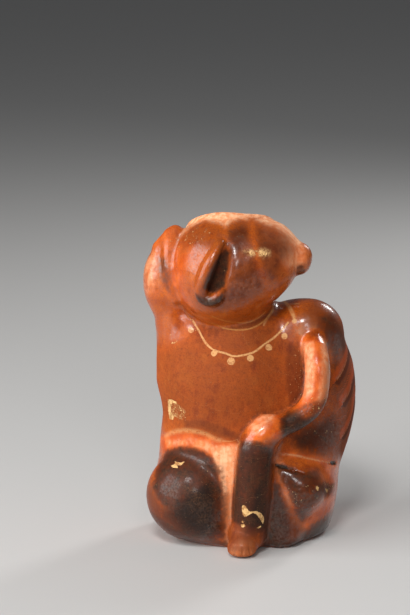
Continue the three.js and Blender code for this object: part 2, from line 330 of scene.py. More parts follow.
def pointsOf(mesh):
    co = np.empty(len(mesh.vertices) * 3, np.float32)
    mesh.vertices.foreach_get("co", co)
    return toFigure(co.reshape(-1, 3))


def movePoints(mesh, p):
    mesh.vertices.foreach_set("co", toRow(p).astype(np.float32).ravel())
    mesh.update()


def makeSkin():
    piece = bpy.data.objects.new("burnished_vase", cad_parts["vase"].data.copy())
    bpy.context.scene.collection.objects.link(piece)
    bm = bmesh.new()
    bm.from_mesh(piece.data)
    bmesh.ops.remove_doubles(bm, verts=bm.verts, dist=1e-5)
    bm.to_mesh(piece.data)
    bm.free()
    remesh = piece.modifiers.new("evenSkin", "REMESH")
    remesh.mode = "VOXEL"
    remesh.voxel_size = skin["voxel"] * metresPerUnit
    applied(piece)
    print("remeshed:", len(piece.data.vertices), "points")

    p = pointsOf(piece.data)
    deep = (cavityForm(p) < skin["hollowFrom"]) & (outerForm(p) < -skin["hollowDepth"])
    deep &= p[:, 2] < skin["hollowTop"]
    group = piece.vertex_groups.new(name="hollow")
    group.add(np.flatnonzero(deep).tolist(), 1.0, "REPLACE")
    faces = len(piece.data.polygons)
    hollowFaces = sum(all(deep[v] for v in face.vertices) for face in piece.data.polygons)
    thin = piece.modifiers.new("thinHollow", "DECIMATE")
    thin.ratio = (2 * (faces - hollowFaces) + skin["hollowFaces"]) / (2 * faces)
    thin.vertex_group = "hollow"
    applied(piece)
    piece.vertex_groups.clear()
    print("hollow thinned:", len(piece.data.vertices), "points", len(piece.data.polygons), "faces")
    return piece


def settle(piece):
    p = pointsOf(piece.data)
    base = p[:, 2] < skin["base"]
    for _ in range(skin["settleRounds"]):
        slope = slopeOf(vaseForm, p)
        step = vaseForm(p) / np.maximum(np.sum(slope * slope, axis=1), skin["leastSlope"])
        move = slope * np.clip(step, -skin["longestMove"], skin["longestMove"])[:, None]
        move[base, 2] = 0
        p = p - move
    p[:, 2] = np.where(base, 0, np.maximum(p[:, 2], 0))
    movePoints(piece.data, p)
    return piece


vase = settle(makeSkin())
print("skin settled")


# Where things lie on the skin: a pixel of the view, or an angle round the figure and a height

bodyAxis = (4, 4)
march = {"ahead": 150, "out": 110, "rounds": 90, "step": 0.8}     # mm, and the share of each step


def onSkin(pixels):
    rays = np.array([pixelRay(pixel) for pixel in pixels])
    p = eye + rays * (view["distance"] - march["ahead"])
    for _ in range(march["rounds"]):
        p = p + rays * outerForm(p)[:, None] * march["step"]
    return p


def aroundSkin(places):
    # an angle and a height each; 0 is in front, 90 on the right and 180 behind
    turns = np.radians([angle for angle, height in places])
    outward = np.stack([np.sin(turns), -np.cos(turns), np.zeros(len(turns))], axis=1)
    middle = np.array([(*bodyAxis, height) for angle, height in places], float)
    p = middle + outward * march["out"]
    for _ in range(march["rounds"]):
        p = p - outward * outerForm(p)[:, None] * march["step"]
    return p


def smooth(t):
    t = np.clip(t, 0, 1)
    return t * t * (3 - 2 * t)


def rise(values, start, over):
    # from 0 at the start to 1 where it is over
    return smooth((values - start) / over)


def fall(values, start, over):
    # from 0 at the start to 1 below it
    return smooth((start - values) / over)


def outlineDistance(pixels, corners):
    # pixels to a closed outline, negative inside it
    corners = np.array(corners, float)
    best = np.full(len(pixels), 1e9)
    inside = np.zeros(len(pixels), bool)
    for a, b in zip(corners, np.roll(corners, -1, axis=0)):
        line = b - a
        away = pixels - a
        t = np.clip(away @ line / (line @ line), 0, 1)
        best = np.minimum(best, np.linalg.norm(away - t[:, None] * line, axis=1))
        crosses = (a[1] > pixels[:, 1]) != (b[1] > pixels[:, 1])
        level = (pixels[:, 1] - a[1]) / (line[1] + 1e-9)
        inside ^= crosses & (pixels[:, 0] < a[0] + level * line[0])
    return np.where(inside, -best, best)


def strokeDistance(p, normals, path, sharpEnds=True, farAway=40.0, pastEnd=25):
    # millimetres to a path on the skin, positive on its left; far from a point past its ends
    best = np.full(len(p), farAway)
    last = len(path) - 2
    for i, (a, b) in enumerate(zip(path, path[1:])):
        line = b - a
        away = p - a
        along = away @ line / (line @ line)
        t = np.clip(along, 0, 1)
        far = np.linalg.norm(away - t[:, None] * line, axis=1)
        side = np.where(np.sum(np.cross(line, normals) * away, axis=1) < 0, 1.0, -1.0)
        closer = far < np.abs(best)
        past = sharpEnds & (((along < 0) & (i == 0)) | ((along > 1) & (i == last)))
        best[closer] = (np.where(past, np.maximum(far, pastEnd), far) * side)[closer]
    return best


def stroke(pixels, steps=4):
    return np.array(smoothPath(onSkin(pixels), steps))


# The groups of lumps that a spot keeps to or leaves out
lumpGroups = {
    "head": ["skull", "face", "snout", "nose", "earRim", "lip"],
    "nose": ["nose"],
    "ear": ["earRim"],
    "raisedArm": ["elbow", "wrist", "raisedHand"],
    "arm": ["leftArm"],
    "leg": ["leftShin", "leftKnee", "leftFoot", "toes"],
    "calf": ["leftCalf"],
    "rightThigh": ["rightThigh", "rightHip"],
    "leftThigh": ["leftThigh"],
}


def spot(amount, edge, *outline, on="", off=""):
    # how strong it is, how soft its edge is in pixels, and its outline in pixels of the view
    return {"amount": amount, "edge": edge, "outline": outline, "on": on.split(), "off": off.split()}


def cornersOf(left, top, right, bottom):
    return (left, top), (right, top), (right, bottom), (left, bottom)


# Fields of each tone of the fired clay, and of lost shine; some dark fields are painted shade and some
# bright ones painted highlights
fields = {
    "smokeAndShade": {
        # dark paint on the calf, deepened as painted shade on its side turned from the light
        "calf": spot(0.55, 5, (262, 452), (273, 456), (273, 490), (282, 520), (286, 545),
            (266, 552), (262, 530), (266, 500), on="calf leg", off="arm"),
        "moundFoot": spot(0.6, 7, (262, 500), (280, 504), (292, 530), (296, 556), (262, 558),
            off="leg"),
        "thigh": spot(0.72, 4, (167, 450), (180, 447), (192, 448), (204, 451), (213, 458),
            (218, 472), (222, 490), (223, 508), (221, 528), (206, 536), (186, 527), (172, 514),
            (158, 500), (153, 487), (157, 468), off="leg"),
        # dark paint on the thigh, deepened as painted shade on its right and lower side
        "thighCore": spot(0.95, 16, (172, 498), (196, 478), (218, 472), (222, 500), (222, 534),
            (206, 544), (182, 534), (164, 516), off="leg"),
        # painted shade on the thigh's underside
        "thighUnderside": spot(0.6, 7, (146, 506), (160, 516), (185, 530), (208, 538), (228, 540),
            (230, 552), (205, 552), (170, 542), (150, 522), off="leg"),
        "shin": spot(0.76, 4, (241, 441), (262, 443), (274, 450), (270, 480), (267, 515),
            (262, 530), (244, 528), (232, 522), (231, 500), (236, 470), on="leg calf"),
        # dark paint on the shin, deepened as painted shade on its right side
        "shinCore": spot(0.9, 14, (248, 482), (270, 470), (272, 500), (270, 532), (246, 534),
            (240, 515), on="leg calf"),
        "wrist": spot(0.38, 4, (281, 415), (296, 409), (312, 400), (328, 398), (334, 400),
            (328, 414), (312, 424), (298, 432), (285, 438), (279, 428), on="arm leg"),
        # dark paint on the forearm, with painted shade along its underside
        "wristUnderside": spot(0.8, 5, (280, 418), (288, 411), (298, 413), (306, 418), (318, 413),
            (330, 404), (334, 408), (318, 424), (298, 434), (282, 440), on="arm leg"),
        # painted shade on the body under the forearm, over dark paint
        "underWrist": spot(0.56, 9, (290, 436), (312, 426), (332, 414), (338, 425), (336, 446),
            (322, 454), (300, 450), off="arm leg"),
        "mound": spot(0.65, 6, (278, 466), (290, 467), (303, 470), (317, 470), (322, 482),
            (334, 484), (333, 493), (322, 498), (314, 508), (303, 522), (296, 514), (288, 494),
            (281, 480), off="leg"),
        "hipFoot": spot(0.85, 7, (300, 538), (312, 527), (326, 517), (340, 505), (340, 535),
            (320, 552), (300, 560), (262, 560), (266, 548)),
        "moundFront": spot(0.7, 5, (267, 480), (280, 484), (286, 505), (292, 530), (288, 548),
            (268, 550), (266, 515), off="leg"),
        # painted shade along the thigh's lower left edge
        "thighEdge": spot(0.3, 6, (142, 494), (152, 488), (162, 508), (180, 526), (176, 540),
            (152, 524), on="rightThigh"),
        "calfLine": spot(0.45, 5, (264, 452), (272, 452), (271, 478), (272, 500), (276, 530),
            (264, 540), (260, 520), (265, 490), off="arm"),
        "shoulder": spot(0.55, 7, (318, 316), (334, 312), (346, 335), (350, 352), (342, 350),
            (338, 360), (336, 400), (332, 352), (322, 336), off="arm head"),
        # painted shade in the ear's hollow, reaching over the rim's inner side
        "earHollow": spot(0.8, 2.5, (226, 248), (229.5, 253), (228, 268), (224, 287), (216, 293),
            (207, 291), (203, 288), (207, 277), (212, 267), (220, 254), on="head"),
        # painted shade under the ear's lobe
        "earLobe": spot(0.8, 3, (196, 294), (202, 297), (214, 299), (222, 293), (227, 299),
            (219, 306), (205, 307), (196, 302), on="ear"),
        "besideEar": spot(0.45, 5, (228, 232), (242, 226), (250, 232), (246, 244), (236, 256),
            (229, 262), (227, 246), on="head"),
        "aroundEye": spot(0.35, 5, (248, 244), (270, 240), (276, 250), (262, 262), (250, 258),
            on="head"),
        # painted shadow under the nose
        "nose": spot(0.5, 4, (294, 266), (304, 264), (306, 272), (300, 278), (292, 274), on="nose"),
        # painted shade in the fold between the elbow and the hand
        "handFold": spot(0.42, 5, (157, 258), (165, 256), (171, 275), (170, 292), (163, 286),
            (158, 270), on="raisedArm"),
        # painted shade in the small hole at the belt's end
        "beltHole": spot(1.0, 1.2, (331, 461), (335, 461), (336, 464.5), (332, 465)),
        # painted shadow in the undercut at the end of the crease over the mound
        "creaseEnd": spot(1.0, 1.5, (276, 464), (287, 466), (290, 470), (279, 469)),
    },
    "umberAndShade": {
        "armUnderside": spot(0.4, 3, (327, 360), (333, 356), (334, 386), (326, 406), (314, 408),
            (324, 392), on="arm"),
        "ankle": spot(0.75, 5, (228, 524), (240, 522), (258, 526), (258, 548), (246, 554),
            (228, 552), on="leg"),
        "headBack": spot(0.55, 7, (178, 240), (192, 228), (207, 223), (221, 226), (226, 234),
            (226, 246), (212, 250), (195, 250), (180, 256), on="head"),
        "cheek": spot(0.92, 8, (229, 228), (240, 223), (256, 224), (274, 230), (288, 240),
            (292, 250), (284, 262), (275, 280), (258, 295), (240, 306), (222, 312), (205, 308),
            (196, 300), (222, 299), (226, 280), (230, 256), on="head"),
        # painted shade along the head's lower edge, over the neck
        "jaw": spot(0.45, 9, (176, 290), (186, 296), (200, 310), (225, 322), (250, 322), (268, 308),
            (275, 300), (258, 312), (238, 315), (214, 314), (196, 305), on="head"),
        # dark mottled clay beside the arm, partly painted shade in the crease
        "besideArm": spot(0.8, 6, (286, 340), (299, 345), (303, 360), (304, 400), (290, 408),
            (284, 390), (284, 360), off="arm leg"),
        "chest": spot(0.45, 12, (190, 326), (294, 320), (294, 360), (240, 374), (188, 360),
            off="arm leg head"),
        "torso": spot(0.52, 14, (160, 352), (187, 340), (210, 352), (285, 345), (290, 410),
            (240, 430), (180, 428), (160, 410), off="arm leg head"),
        "overCloth": spot(0.8, 5, (182, 419), (200, 416), (226, 426), (246, 438), (240, 441),
            (220, 438), (203, 430), (184, 429), off="leg rightThigh"),
        # painted shade on the neck under the head
        "neck": spot(0.85, 8, (203, 326), (225, 333), (250, 332), (270, 322), (282, 308),
            (290, 300), (268, 305), (250, 318), (225, 322), (205, 316), off="head"),
        "hump": spot(0.75, 9, (296, 320), (312, 300), (330, 300), (350, 335), (360, 380),
            (356, 430), (346, 460), (300, 455), (296, 440), (335, 410), (336, 350), (322, 332),
            (304, 334), off="head arm"),
        "ear": spot(0.8, 6, (222, 244), (214, 258), (200, 285), (196, 300), (208, 308), (226, 302),
            (226, 292), (214, 296), (206, 290), (214, 268), (224, 252), on="ear"),
        # dark paint on the calf, deepened as painted shade on its side
        "calf": spot(0.85, 6, (266, 440), (280, 440), (277, 452), (272, 480), (276, 515),
            (290, 540), (262, 548), (256, 530), (268, 500), on="calf leg"),
        "mound": spot(0.9, 6, (264, 496), (286, 500), (300, 526), (306, 536), (300, 556),
            (262, 558), off="leg"),
        "flank": spot(0.3, 8, (148, 298), (170, 298), (184, 330), (176, 352), (152, 352),
            off="head"),
        "underCollar": spot(0.6, 5, (205, 328), (282, 326), (264, 344), (240, 354), (222, 352),
            (208, 342), off="head arm"),
        # painted shade along the thigh's lower left edge
        "thighEdge": spot(0.85, 6, (140, 490), (150, 478), (160, 500), (178, 520), (202, 534),
            (190, 546), (162, 534), (144, 512), off="leg"),
    },
    "glowAndHighlight": {
        "flank": spot(0.25, 7, (135, 240), (175, 218), (190, 262), (190, 300), (204, 322),
            (197, 334), (187, 342), (158, 356), (146, 356), (146, 300), (130, 280), off="head"),
        "hipCurve": spot(0.8, 5, (284, 446), (300, 451), (322, 456), (345, 464), (348, 500),
            (340, 518), (320, 522), (306, 530), (300, 528), (312, 512), (328, 497), (330, 480),
            (322, 466), (300, 458), (282, 458), off="leg calf"),
        "clothBand": spot(1.0, 4, (158, 436), (175, 432), (201, 433), (220, 440), (242, 446),
            (240, 458), (224, 456), (214, 461), (205, 453), (190, 447), (163, 452), off="leg"),
        "knee": spot(1.0, 4, (247, 424), (262, 412), (278, 412), (285, 426), (276, 440), (262, 446),
            (249, 442), on="leg arm"),
        "nose": spot(0.7, 5, (292, 238), (308, 250), (306, 262), (288, 272), (278, 262), (284, 246),
            on="nose head"),
        "headBack": spot(0.75, 5, (172, 250), (186, 240), (196, 246), (186, 262), (182, 285),
            (192, 305), (182, 304), (170, 285), on="head"),
        "arm": spot(0.9, 4, (298, 336), (332, 340), (334, 390), (320, 408), (296, 410), (302, 380),
            on="arm"),
        # painted highlight along the mound's lit edge
        "moundRim": spot(0.6, 4, (276, 458), (284, 460), (284, 476), (290, 491), (298, 510),
            (292, 512), (283, 495), (277, 476), off="leg"),
        # painted rim light along the hump's right edge
        "humpEdge": spot(0.7, 3, (349, 350), (358, 380), (359, 410), (354, 436), (347, 460),
            (341, 460), (347, 432), (351, 406), (350, 380), (345, 360), off="arm leg"),
    },
    "paleAndHighlight": {
        "foot": spot(0.3, 4, (228, 550), (240, 540), (253, 541), (252, 558), (226, 558), on="leg"),
        "crown": spot(0.95, 4, (162, 244), (178, 218), (205, 203), (240, 201), (275, 209),
            (303, 240), (300, 250), (289, 237), (275, 226), (256, 220), (240, 219), (230, 222),
            (226, 227), (221, 223), (205, 219), (190, 226), (176, 240), on="head"),
        # pale slip of the arm, with a painted highlight down its front facet
        "armInner": spot(0.6, 2.5, (302, 343), (313, 342), (315, 366), (313, 392), (303, 402),
            (304, 386), (305, 366), on="arm"),
        # pale slip of the arm, with a painted highlight down its side facet
        "armOuter": spot(0.6, 3, (322, 338), (332, 346), (333, 386), (326, 404), (316, 402),
            (321, 384), (322, 362), on="arm"),
        # painted highlight on the knee's top
        "knee": spot(0.5, 4, (250, 424), (262, 414), (276, 414), (270, 424), (258, 434), (250, 434),
            on="arm leg"),
        "stripTop": spot(0.95, 3.5, (216, 446), (241, 446), (238, 473), (236, 494), (223, 494),
            (219, 473), (213, 457), off="leg"),
        "stripLow": spot(0.4, 4, (222, 488), (236, 488), (232, 545), (224, 545), off="leg"),
        "clothBand": spot(0.45, 4, (166, 441), (190, 438), (212, 443), (222, 450), (214, 455),
            (190, 444), (168, 446), off="leg"),
        # painted highlight on the elbow
        "elbow": spot(0.35, 8, (138, 262), (150, 250), (160, 262), (158, 285), (146, 292),
            on="raisedArm"),
        # painted highlight along the mound's lit edge
        "moundRim": spot(0.25, 3, (276, 456), (282, 460), (282, 474), (288, 488), (294, 506),
            (289, 506), (281, 488), (276, 472), off="leg"),
        "nose": spot(0.4, 5, (278, 238), (292, 236), (308, 250), (306, 268), (290, 270), (280, 258),
            on="nose head"),
        # painted sheen on the shoulder
        "shoulder": spot(0.3, 6, (296, 318), (310, 314), (318, 328), (306, 340), (297, 334),
            off="arm head"),
    },
    "dull": {
        "earHollow": spot(1.6, 2.5, (224, 244), (232, 250), (230, 268), (226, 290), (216, 294),
            (209, 291), (211, 277), (216, 264), on="head"),
        "face": spot(1.0, 8, (262, 220), (282, 222), (304, 242), (304, 264), (280, 282), (264, 266),
            (270, 244), on="head"),
        "torso": spot(0.9, 9, (146, 346), (182, 338), (204, 318), (262, 318), (285, 334),
            (304, 350), (304, 402), (280, 440), (240, 446), (165, 432), (148, 400),
            off="arm leg head"),
        "cloth": spot(0.8, 6, (160, 436), (200, 434), (242, 446), (236, 494), (230, 545),
            (222, 545), (222, 490), (212, 458), (164, 452), off="leg"),
        "arm": spot(0.5, 6, (300, 345), (316, 345), (319, 366), (330, 400), (300, 430), (284, 430),
            (300, 400), on="arm"),
        "shin": spot(0.75, 6, (240, 450), (272, 452), (268, 530), (256, 562), (222, 562),
            (232, 520), on="leg"),
        "thighTop": spot(0.5, 6, (166, 444), (190, 443), (212, 452), (223, 475), (223, 502),
            (192, 500), (174, 476), on="rightThigh"),
        "thigh": spot(0.4, 8, (160, 452), (190, 446), (215, 460), (224, 500), (222, 540),
            (170, 540), (140, 510), (140, 486), on="rightThigh"),
        "humpEdge": spot(0.9, 5, (336, 316), (346, 316), (360, 350), (360, 440), (344, 466),
            (338, 450), (346, 400), (342, 350), off="arm"),
        "mound": spot(0.8, 5, (306, 458), (340, 454), (340, 500), (326, 500), (312, 474),
            on="leftThigh"),
        "elbow": spot(0.8, 5, (140, 240), (175, 218), (190, 262), (180, 262), (168, 240),
            (150, 250), off="head"),
        "crown": spot(0.8, 4, (165, 240), (178, 218), (205, 203), (240, 201), (275, 209),
            (303, 240), (289, 237), (256, 220), (205, 219), (176, 240), on="head"),
    },
}

# Fields of the sides the view does not show: a tone, how strong, a middle and a reach in mm
hiddenFields = [
    ("umberAndShade", 0.7, (40, 62, 120), 75),
    ("smokeAndShade", 0.75, (0, 60, 20), 60),
    ("smokeAndShade", 0.5, (58, 40, 150), 38),
    ("smokeAndShade", 0.6, (-60, 36, 30), 46),
    ("umberAndShade", 0.6, (-14, 40, 205), 42),
    ("glowAndHighlight", 0.8, (-62, 24, 110), 60),
    ("glowAndHighlight", 0.7, (70, 30, 46), 40),
    ("paleAndHighlight", 0.5, (-30, 60, 84), 34),
]

# Painted and scratched lines, through pixels of the view
lines = {
    "necklace": [(193, 321), (199, 331), (202.6, 338), (207, 344.5), (214, 350),
                 (224.6, 353), (233, 356), (241, 355.5), (254, 352), (264, 344.5), (273.5, 338),
                 (281, 331), (289, 321.6)],
    "collarLow": [(206, 321), (225, 328.5), (240, 330), (252, 328), (264, 321), (272, 310)],
    "collarHigh": [(212, 316), (226, 321), (244, 323), (258, 318), (266, 311)],
    # the cloth and belt lines are cream paint and partly a painted highlight along their edges
    "clothLine": [(164, 437), (176, 431.5), (190, 430.5), (204, 433), (218, 440), (240, 443)],
    "beltLine": [(284, 454), (296, 455.5), (310, 459), (331, 463)],
    "hook": [(282.5, 301), (288, 305), (291.5, 311), (295, 320)],
    "hookTop": [(290, 304), (300, 303.5)],
    "loop": [(273.5, 303), (273, 310), (268, 317), (263, 326)],
}
# The beads painted under the necklace: a pixel and a radius in mm
beads = [
    ((191, 330), 2.1), ((214, 353), 2.4), ((231, 361), 2.7), ((250.5, 358), 2.5),
    ((268.7, 347.4), 2.6), ((284.5, 336), 2.3), ((294.5, 321), 1.8),
]
# Ribs scratched into the hump. The spine, and the front ends of the unseen ones, are given by
# an angle round the figure and a height; the seen ones by pixels, from the front end back
ribs = {
    "spine": [(152, 176), (150, 150), (147, 120), (146, 90), (148, 62)],
    "seen": [
        [(336, 381), (341, 374), (345, 366), (347.5, 357)],
        [(342, 403), (346, 397), (350, 390), (352, 383)],
        [(340, 437), (346, 425), (351, 412), (353, 404)],
        [(345, 458), (349, 443), (352, 429)],
    ],
    "unseen": [(108, 150), (112, 52)],
    "rise": 24, "farEnd": (212, -20), "steps": 7,
}
# Places where the slip has flaked off, outlined in pixels of the view
flakes = {
    "shinCrescent": [(242, 505.3), (244, 505.2), (246, 506.8), (248, 510), (250.4, 511.6),
        (253.5, 511.2), (256.5, 511.2), (259.5, 512.3), (261.9, 514), (263.6, 516.3),
        (264.3, 519.7), (264.1, 522), (262.8, 524), (262, 522.5), (261.3, 520.8), (260, 518.8),
        (258, 516.4), (256, 514), (253, 513), (250.4, 513.8), (248.5, 515.3), (246.6, 516.4),
        (244.3, 516.4), (242.7, 514.4), (241.8, 510)],
    "shinHigh": [(241.5, 521), (242.8, 520.8), (243, 522.5), (241.8, 522.6)],
    "shinLow": [(240.8, 524.6), (243.6, 524), (245.4, 526.2), (243, 527.6), (240.8, 527)],
    "shinRight": [(257, 528), (259, 526.4), (261.4, 525.4), (261, 527.2), (258.4, 528.6)],
    "thigh": [(171, 466), (175, 463.5), (175, 461.5), (180, 463), (185, 461.5), (181, 465.5),
        (177, 465), (178, 468), (173, 468)],
    "waist": [(167.5, 399.6), (171, 399.4), (176, 401.6), (177, 403.6), (172, 403), (170.4, 406),
        (170.6, 412), (173.6, 416), (172.8, 419.8), (169, 419), (168, 413), (167.4, 406)],
    "moundLeft": [(316, 486), (319, 486), (319, 491), (316, 490)],
    "moundRight": [(325, 488), (329, 490), (327, 493)],
}
# The same on the other sides: a point and a radius in mm
flakeSpots = [(-40, 50, 70, 4), (10, 62, 40, 5), (62, 44, 84, 3.5), (-20, 52, 128, 3)]
# The lace of fine cracks where the slip lifts
laces = {
    "waist": spot(1.0, 2, (167, 399), (173, 399), (178, 403), (183, 407), (187, 411), (186, 416),
        (182, 421), (179, 421), (176, 418), (170, 419)),
    "wrist": spot(0.6, 2, (300, 402), (326, 392), (332, 400), (318, 420), (302, 414)),
    "shoulder": spot(0.5, 2, (304, 338), (316, 334), (326, 342), (320, 348)),
    "mound": spot(0.7, 2, (324, 482), (334, 484), (336, 491), (328, 494)),
}
# Small crumbs of bare clay
crumbs = {
    "crown": spot(0.8, 4, (166, 236), (200, 228), (222, 232), (214, 240), (190, 246), (176, 250)),
    "eye": spot(1.0, 3, (247, 251), (258, 248), (268, 250), (268, 257), (256, 259), (248, 256)),
    "flank": spot(0.9, 3, (170, 334), (178, 336), (177, 350), (171, 349)),
    "besideArm": spot(0.7, 6, (290, 345), (304, 345), (305, 400), (290, 402)),
    "wrist": spot(0.9, 5, (305, 402), (325, 392), (330, 400), (318, 418), (306, 418)),
    "underWrist": spot(0.4, 8, (300, 428), (338, 415), (344, 440), (338, 452), (305, 448)),
    "mound": spot(0.45, 6, (285, 490), (310, 484), (335, 488), (325, 505), (295, 520)),
    "waist": spot(0.5, 5, (166, 399), (187, 405), (188, 422), (168, 422)),
    "moundRight": spot(0.8, 4, (322, 480), (336, 482), (336, 492), (324, 494)),
    "moundFront": spot(0.8, 4, (286, 490), (296, 490), (308, 508), (300, 516)),
    "shin": spot(0.2, 8, (235, 440), (270, 440), (268, 535), (232, 535)),
    "neckLeft": spot(0.7, 5, (188, 325), (198, 323), (205, 336), (194, 336)),
    "chestRight": spot(0.7, 5, (284, 350), (303, 348), (303, 362), (286, 360)),
}
# The painted lashes of the eye
eyeSmears = {
    "lashes": spot(1.0, 1, (249, 250.5), (260, 250.3), (267, 252.5), (267, 256), (257, 256.5),
        (249, 254), on="head"),
    "haze": spot(0.35, 2, (242, 251), (252, 249), (264, 248), (270, 251), (270, 256), (262, 258),
        (250, 256), on="head"),
}


class Skin:
    # what is known of every point of a settled piece
    def __init__(self, piece):
        self.mesh = piece.data
        self.p = pointsOf(piece.data)
        slope = slopeOf(outerForm, self.p)
        self.normals = slope / np.maximum(np.linalg.norm(slope, axis=1), 1e-6)[:, None]
        self.pixels = pixelsOf(self.p)
        toEye = eye - self.p
        toEye /= np.linalg.norm(toEye, axis=1)[:, None]
        nearOuter = np.abs(outerForm(self.p)) < skin["outerReach"]
        self.outside = rise(cavityForm(self.p), *skin["wallFade"]) * nearOuter
        self.seen = rise(np.sum(self.normals * toEye, axis=1), *skin["seenFade"]) * self.outside
        self.near = {}

    def nearGroup(self, name):
        if name not in self.near:
            depth = np.min([lumps[lump](self.p) for lump in lumpGroups[name]], axis=0)
            self.near[name] = 1 - rise(depth, *skin["lumpFade"])
        return self.near[name]

    def covered(self, place):
        inside = smooth(0.5 - outlineDistance(self.pixels, place["outline"]) / (2 * place["edge"]))
        weight = place["amount"] * inside * self.seen
        if place["on"]:
            weight *= np.max([self.nearGroup(name) for name in place["on"]], axis=0)
        for name in place["off"]:
            weight *= 1 - self.nearGroup(name)
        return weight

    def together(self, places):
        return np.max([self.covered(place) for place in places.values()], axis=0)

    def hidden(self, amount, at, reach):
        far = np.linalg.norm(self.p - np.array(at, float), axis=1)
        return amount * smooth(1.3 - far / reach) * (1 - self.seen) * self.outside

    def write(self, name, values):
        attribute = self.mesh.attributes.new(name, "FLOAT", "POINT")
        attribute.data.foreach_set("value", np.asarray(values, np.float32))


def ribPaths():
    # each goes up and back to the spine, then down the far side of the hump
    spine = np.array(ribs["spine"], float)
    paths = [aroundSkin(spine)]
    fronts = [onSkin(pixels) for pixels in ribs["seen"]]
    fronts += [aroundSkin([front]) for front in ribs["unseen"]]
    farAngle, drop = ribs["farEnd"]
    t = np.linspace(0, 1, ribs["steps"] + 1)[1:]
    for front in fronts:
        x, y, height = front[-1]
        angle = math.degrees(math.atan2(x - bodyAxis[0], bodyAxis[1] - y))
        top = height + ribs["rise"]
        spineAngle = np.interp(-top, -spine[:, 1], spine[:, 0])
        rising = height + ribs["rise"] * np.sin(t * math.pi / 2)
        back = aroundSkin(np.stack([angle + t * (spineAngle - angle), rising], axis=1))
        falling = top + drop * t**1.5
        far = aroundSkin(np.stack([spineAngle + t * (farAngle - spineAngle), falling], axis=1))
        paths += [np.concatenate([front, back]), np.concatenate([back[-1:], far])]
    return [np.array(smoothPath(path, 3)) for path in paths]


def nearestStroke(p, normals, paths):
    strokes = np.stack([strokeDistance(p, normals, path) for path in paths])
    return strokes[np.argmin(np.abs(strokes), axis=0), np.arange(len(p))]


# Finer skin where small things lie, and the relief that only a close look shows

# How many times the faces are halved, and an outline in pixels of the view
fineSpots = {
    "shinFlake": (2, *cornersOf(239, 503, 267, 530)),
    "thighFlake": (2, *cornersOf(168, 459, 187, 470)),
    "waistFlake": (2, *cornersOf(164, 398, 188, 423)),
    "ear": (1, (193, 303), (210, 312), (228, 300), (231, 244), (220, 241), (193, 290)),
    "eye": (1, *cornersOf(246, 248, 270, 260)),
    "toes": (1, *cornersOf(226, 538, 257, 561)),
    "crease": (1, (273, 461), (305, 468), (304, 477), (273, 470)),
    "beltHole": (2, *cornersOf(328, 458, 339, 468)),
    "necklace": (1, (186, 324), (197, 326), (214, 346), (236, 353), (262, 342), (290, 314),
        (300, 322), (272, 354), (248, 364), (228, 366), (208, 358), (186, 336)),
}
# A depth and a width in mm, and a path through pixels
grooves = {
    "firstToe": (0.5, 0.7, (236.5, 548), (235.5, 553), (235, 558)),
    "secondToe": (0.5, 0.7, (243, 549), (242.5, 554), (242.5, 559)),
    "thirdToe": (0.5, 0.7, (249.5, 548), (250, 553), (250.5, 557)),
    "crease": (1.6, 1.3, (277, 465.5), (285, 468), (293, 470)),
    "creaseEnd": (0.7, 1.0, (293, 470), (303, 473)),
    "beltHole": (1.4, 1.3, (329, 462), (335, 463.5)),
    "eye": (0.4, 0.7, (249, 253), (258, 252), (266, 254)),
    "nostril": (1.2, 1.0, (299, 268), (302, 269)),
}
relief = {
    "rolls": (0.4, 30), "dents": (0.16, 11), "pits": (0.05, 3.5),   # mm high, mm across
    "ribDepth": 0.5, "ribWidth": 1.1,
    "flakeDepth": 0.32, "flakeEdge": 0.8, "flakePixel": 0.7, "unseenFlake": 8,
    "beltLedge": 0.5, "beltEdge": 1.6, "beltReach": 7,
    "crust": 0.25, "crustGrain": 2.2,
    "lipChips": 0.7, "chipGrain": 5, "chipFade": (0.25, 0.25), "lipReach": 2,
    "footFade": (0.6, 2),
    "seeds": {"layers": 7.3, "crust": 3.1, "chips": 11.0},
}
# Low swellings and dents: a pixel, then a height and a reach in mm
swellings = {
    "eye": ((258, 256), 0.6, 12),
    "cheek": ((236, 250), -0.5, 8),
    "brow": ((250, 236), 0.7, 10),
    "lap": ((200, 424), 1.2, 9),
    "shoulder": ((305, 322), 0.9, 8),
    "mound": ((290, 476), 1.5, 6),
    "shoulderCorner": ((332, 307), -3.2, 10),
    "shoulderTop": ((318, 302), 0.8, 8),
    "knee": ((257, 431), 0.9, 8),
    "wrist": ((311, 414), 0.8, 4),
    "humpSide": ((344, 424), 2.2, 20),
    "waist": ((160, 383), -1.3, 12),
}
# Where a rough crust lies on the slip
crusts = {
    "wrist": spot(1.0, 4, (303, 404), (322, 394), (330, 400), (318, 420), (304, 420), on="arm"),
    "armEdge": spot(1.0, 4, (322, 340), (333, 348), (334, 390), (326, 396), (324, 366), on="arm"),
    "mound": spot(1.3, 4, (288, 488), (318, 476), (336, 484), (330, 496), (300, 520), off="leg"),
    "besideArm": spot(0.7, 6, (286, 344), (303, 344), (304, 400), (288, 402), off="leg head"),
}


def refine(piece):
    for turn in range(skin["fineRounds"]):
        look = Skin(piece)
        near = np.zeros(len(look.p), bool)
        for rounds, *outline in fineSpots.values():
            if rounds > turn:
                near |= (outlineDistance(look.pixels, outline) < 0) & (look.seen > skin["fineSeen"])
        bm = bmesh.new()
        bm.from_mesh(piece.data)
        bm.verts.ensure_lookup_table()
        faces = [face for face in bm.faces if all(near[v.index] for v in face.verts)]
        edges = list({edge for face in faces for edge in face.edges})
        bmesh.ops.subdivide_edges(bm, edges=edges, cuts=1, use_grid_fill=True)
        bm.to_mesh(piece.data)
        bm.free()
    triangles = sum(len(face.vertices) - 2 for face in piece.data.polygons)
    print("finer in places:", triangles, "triangles")
    return piece


def noiseAt(p, across, seed=0.0):
    return np.array([noise.noise(Vector(q)) for q in p / across + seed])


